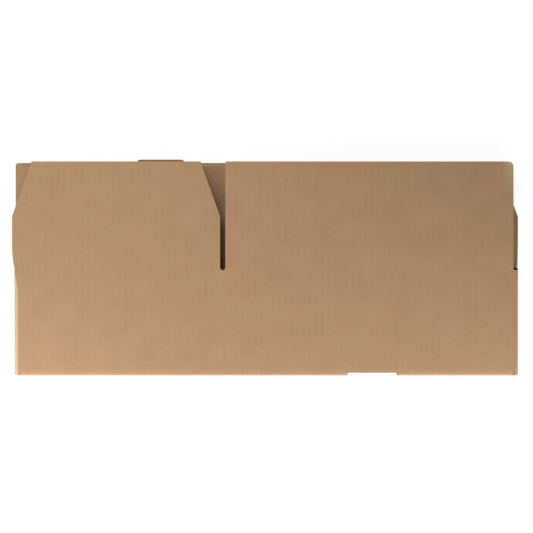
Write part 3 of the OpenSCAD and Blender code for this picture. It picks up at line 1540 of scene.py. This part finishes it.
@dataclass
class TopFlap:
    """A top flap, with the strip of panel below it that its score is pressed into.

    It is bevelled on both sides, unless it has a side with a rounded corner.
    """

    node: str
    ply: Ply
    left: float
    right: float
    heel: Heel | None = None
    round_side: Side | None = None
    round_r: float = 0.0
    bruise_and_painted_light: BruiseAndPaintedLight | None = None
    # A band of painted light along the inner liner's free edge.
    painted_light_band: PaintedLightBand | None = None
    bend_from: float = -1.7
    bend_to: float = 3.6
    bend_steps: int = 15
    columns: int = 26
    corner_steps: int = 10
    past_corner: Sequence[float] = (2.0, 4.0, 7.0, 10.0)
    heel_rows: Sequence[float] = (5.0, 7.0, 9.5, 12.5, 16.0, 20.0, 26.0, 33.0, 42.0)
    edge_rows: Sequence[float] = (0.0, 0.5, 0.92, 0.935, 0.96, 1.0)

    def from_side(self, run: Array, side: Side) -> Array:
        """Distance from a side of the flap."""
        return run - self.left if side is Side.LEFT else self.right - run

    def high(self, run: Array) -> Array:
        """Free edge of the flap: bevelled on both sides, or square with one rounded corner.

        Args:
            run: Stations across the flap.

        Returns:
            Where the board ends at each station.
        """
        if self.round_side is None:
            nearest = np.minimum(run - self.left, self.right - run)
            bevel = nearest * BLANK.bevel_h / BLANK.bevel_in
            return np.minimum(BLANK.flap_top, BLANK.flap_top - BLANK.bevel_h + bevel)
        return BLANK.flap_top - corner_drop(self.from_side(run, self.round_side), self.round_r)

    def knots(self) -> Array:
        """Stations across the flap, close together where it is bevelled or rounded.

        Returns:
            The stations.
        """
        even = np.linspace(self.left, self.right, self.columns)
        if self.round_side is None:
            return merged(even, [self.left + BLANK.bevel_in, self.right - BLANK.bevel_in])
        past = self.round_r + np.array(self.past_corner)
        bend = np.concatenate([corner_runs(self.round_r, self.corner_steps), past])
        return merged(even, self.left + bend if self.round_side is Side.LEFT else self.right - bend)

    def rows(self) -> Array:
        """Rows from the panel over the score and the heel."""
        near = np.linspace(self.bend_from, self.bend_to, self.bend_steps)
        return BLANK.panel_h + np.concatenate([[-BLANK.flap_root], near, self.heel_rows])

    def bruised(self, run: Array, row: Array) -> Array:
        """Share of the bruise on the rounded corner, fading out round it."""
        away = np.hypot(self.from_side(run, self.round_side), BLANK.flap_top - row)
        return ease(1 - away / self.bruise_and_painted_light.reach)

    def place(self, run: Array, row: Array, depth: Array) -> Point:
        """A point of the flap at rest.

        Args:
            run: Place across the carton, as if the flap's sides were straight.
            row: Length along the board from the bottom edge.
            depth: Depth below the outer face.

        Returns:
            The point's coordinates.
        """
        past = row - BLANK.panel_h
        score = SCORE_DEPTH * np.clip(1 - np.abs(past) / SCORE_HALF, 0.0, 1.0)
        sunk = depth + score * BOARD.outer_share(depth)
        if self.bruise_and_painted_light is not None:
            sunk = sunk + self.bruise_and_painted_light.depth * self.bruised(run, row)
        height = BLANK.stack - sunk if self.ply is Ply.FRONT else sunk
        if self.heel is None:
            return run, row, height
        drawn = self.heel.shift(self.from_side(run, self.heel.side), past)
        return run + (drawn if self.heel.side is Side.LEFT else -drawn), row, height

    def pallor(self, run: Array, row: Array, depth: Array) -> Array:
        """Pale where the corner is bruised, part crushed paper and part painted light, and painted light
        inside along the free edge.

        Args:
            run: Place across the carton, as if the flap's sides were straight.
            row: Length along the board from the bottom edge.
            depth: Depth below the outer face.

        Returns:
            The paleness of each point.
        """
        outside = BOARD.outer_share(depth)
        pale = np.zeros_like(row)
        # The bruised corner's outer liner is paled: crushed paper and painted light.
        if self.bruise_and_painted_light is not None:
            pale += self.bruise_and_painted_light.pale * self.bruised(run, row) * outside
        # Painted light: the inner liner is paled along the free edge, so that the shaded strip looks lit.
        if self.painted_light_band is not None:
            past = self.from_side(run, self.round_side) - self.painted_light_band.from_corner
            along = ease(row - BLANK.flap_top + self.painted_light_band.band) * ease(past / self.painted_light_band.fade)
            pale += self.painted_light_band.pale * along * (1 - outside)
        return pale

    def build(self, finishes: Sequence[bpy.types.Material]) -> bpy.types.Object:
        """Builds the flap.

        Args:
            finishes: Materials in the order of Face.

        Returns:
            The piece.
        """
        mesh = BoardMesh()
        outline = Outline(
            self.knots(), level(BLANK.wall_top), self.high, self.rows(), self.edge_rows
        )
        mesh.board(outline, self.place, self.pallor)
        piece = mesh.build(self.node + "_board", finishes)
        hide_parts(self.node)
        height = BLANK.stack if self.ply is Ply.FRONT else 0.0
        ends = [
            Vector((0.0, BLANK.panel_h + past - BLANK.mid_y, height)) * MM
            for past in (self.bend_from, self.bend_to)
        ]
        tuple(ends[0])
        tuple(ends[1])
        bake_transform(piece)
        return piece


def top_flaps() -> list[TopFlap]:
    """The four top flaps.

    Returns:
        The front short, front long, back short and back long flap.
    """
    left_heel = Heel(Side.LEFT, LEFT_FOLD.slot_facet, BLANK.heel_in, length=26.0)
    right_root = RIGHT_FOLD.slot_facet + BLANK.short_flap_out
    return [
        TopFlap("front_short_flap", Ply.FRONT, 0.0, BLANK.slot_left, left_heel),
        TopFlap(
            "front_long_flap", Ply.FRONT, BLANK.slot_left + BLANK.slot_w, BLANK.front_long_right,
            # Its bruised corner is paled by crushing and by painted light.
            round_side=Side.RIGHT, round_r=BLANK.corner_r, bruise_and_painted_light=BruiseAndPaintedLight(),
        ),
        TopFlap(
            "back_short_flap", Ply.BACK, BLANK.back_short_left, BLANK.back_short_right,
            Heel(Side.RIGHT, right_root, BLANK.back_heel_in, length=40.0),
        ),
        TopFlap(
            "back_long_flap", Ply.BACK, 0.0, BLANK.back_long_right, left_heel,
            # Its inner liner carries a band of painted light along the free edge.
            round_side=Side.LEFT, round_r=BLANK.back_corner_r, painted_light_band=PaintedLightBand(),
        ),
    ]


@dataclass(frozen=True)
class SoftBox:
    """A soft box aimed at the middle of the carton, its place and size in metres."""

    name: str
    at: tuple[float, float, float]
    watts: float
    size: tuple[float, float] = (0.5, 0.4)

    def build(self) -> None:
        """Adds the lamp."""
        data = bpy.data.lights.new(self.name, "AREA")
        data.shape = "RECTANGLE"
        data.size, data.size_y = self.size
        data.energy = self.watts
        holder = bpy.data.objects.new(self.name, data)
        holder.location = self.at
        holder.rotation_mode = "QUATERNION"
        holder.rotation_quaternion = (-Vector(self.at)).to_track_quat("-Z", "Y")
        bpy.context.scene.collection.objects.link(holder)


def looked_along(tree: bpy.types.NodeTree) -> bpy.types.NodeSocket:
    """Tells rays that are looked along, also by reflection or through glass, from those that light.

    Args:
        tree: Node tree of a material or a world.

    Returns:
        An output that is 1 for the first kind and 0 for the second.
    """
    path = add_node(tree, "ShaderNodeLightPath")
    seen = add_node(tree, "ShaderNodeMath", {
        0: path.outputs["Is Camera Ray"], 1: path.outputs["Is Glossy Ray"],
    }, operation="MAXIMUM")
    shown = add_node(tree, "ShaderNodeMath", {
        0: seen.outputs[0], 1: path.outputs["Is Transmission Ray"],
    }, operation="MAXIMUM")
    return shown.outputs[0]


@dataclass(frozen=True)
class Studio:
    """Camera straight above, low soft boxes in front and behind, a weak high one, and a white floor."""

    camera_at: tuple[float, float, float] = (-0.0003, 0.0007, 0.908)
    lens: float = 57.89
    sensor: float = 36.0
    nearest: float = 0.01
    boxes: Sequence[SoftBox] = (
        SoftBox("left_box", (-0.451, -0.441, 0.255), 3.95),
        SoftBox("right_box", (0.4, -0.487, 0.255), 3.1),
        SoftBox("front_box", (-0.03, -0.66, 0.25), 0.9),
        SoftBox("back_box", (-0.314, 0.599, 0.431), 2.95),
        SoftBox("high_box", (0.604, 0.156, 1.473), 0.4),
    )
    floor_size: float = 12.0
    floor_lit: str = "#707070"
    floor_own: float = 0.93
    # The paper sweeps up into the white surroundings, so no horizon shows.
    sweep_from: float = 0.35
    sweep_to: float = 1.2
    white: str = "#ffffff"
    sky: float = 0.005

    def camera(self) -> None:
        """Sets the camera over the carton, looking straight down."""
        data = bpy.data.cameras.new("camera")
        data.lens = self.lens
        data.sensor_width = self.sensor
        data.clip_start = self.nearest
        holder = bpy.data.objects.new("camera", data)
        holder.location = self.camera_at
        bpy.context.scene.collection.objects.link(holder)
        bpy.context.scene.camera = holder

    def floor(self) -> None:
        """Lays a white floor that keeps the carton's shadow."""
        half = self.floor_size / 2
        corners = [(-half, -half, 0), (half, -half, 0), (half, half, 0), (-half, half, 0)]
        mesh = bpy.data.meshes.new("floor")
        mesh.from_pydata(corners, [], [(0, 1, 2, 3)])
        material = new_material("white_paper_floor")
        tree = material.node_tree
        lit = add_node(tree, "ShaderNodeBsdfDiffuse", {"Color": linear(self.floor_lit)})
        place = add_node(tree, "ShaderNodeTexCoord").outputs["Object"]
        away = add_node(tree, "ShaderNodeVectorMath", {0: place}, operation="LENGTH")
        paper = add_node(tree, "ShaderNodeMapRange", {
            "Value": away.outputs["Value"], "From Min": self.sweep_from, "From Max": self.sweep_to,
            "To Min": self.floor_own,
        }, interpolation_type="SMOOTHSTEP")
        strength = add_node(tree, "ShaderNodeMath", {
            0: looked_along(tree), 1: paper.outputs[0],
        }, operation="MULTIPLY")
        own = add_node(tree, "ShaderNodeEmission", {
            "Color": linear(self.white), "Strength": strength.outputs[0],
        })
        both = add_node(tree, "ShaderNodeAddShader", {0: lit.outputs[0], 1: own.outputs[0]})
        add_node(tree, "ShaderNodeOutputMaterial", {"Surface": both.outputs[0]})
        mesh.materials.append(material)
        holder = bpy.data.objects.new("floor", mesh)
        bpy.context.scene.collection.objects.link(holder)

    def world(self) -> None:
        """Makes the surroundings white to look at, and dim as a light."""
        world = bpy.data.worlds.new("surroundings")
        bpy.context.scene.world = world
        world.use_nodes = True
        tree = world.node_tree
        tree.nodes.clear()
        strength = add_node(tree, "ShaderNodeMapRange", {
            "Value": looked_along(tree), "To Min": self.sky,
        })
        back = add_node(tree, "ShaderNodeBackground", {
            "Color": linear(self.white), "Strength": strength.outputs[0],
        })
        add_node(tree, "ShaderNodeOutputWorld", {"Surface": back.outputs[0]})

    def build(self) -> None:
        """Sets up camera, lights, floor and surroundings."""
        self.camera()
        for box in self.boxes:
            box.build()
        self.floor()
        self.world()
        bpy.context.scene.view_settings.view_transform = "Standard"


def main() -> None:
    logging.basicConfig(level=logging.INFO, format="%(name)s: %(message)s")
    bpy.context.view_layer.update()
    finishes = Finishes().build()
    pieces = [part.build(finishes) for part in (Sleeve(), BasePanel(), BottomFlaps())]
    pieces += [flap.build(finishes) for flap in top_flaps()]
    for piece in pieces:
        log.info("%s: %d faces", piece.name, len(piece.data.polygons))
    Studio().build()


if __name__ == "__main__":
    main()
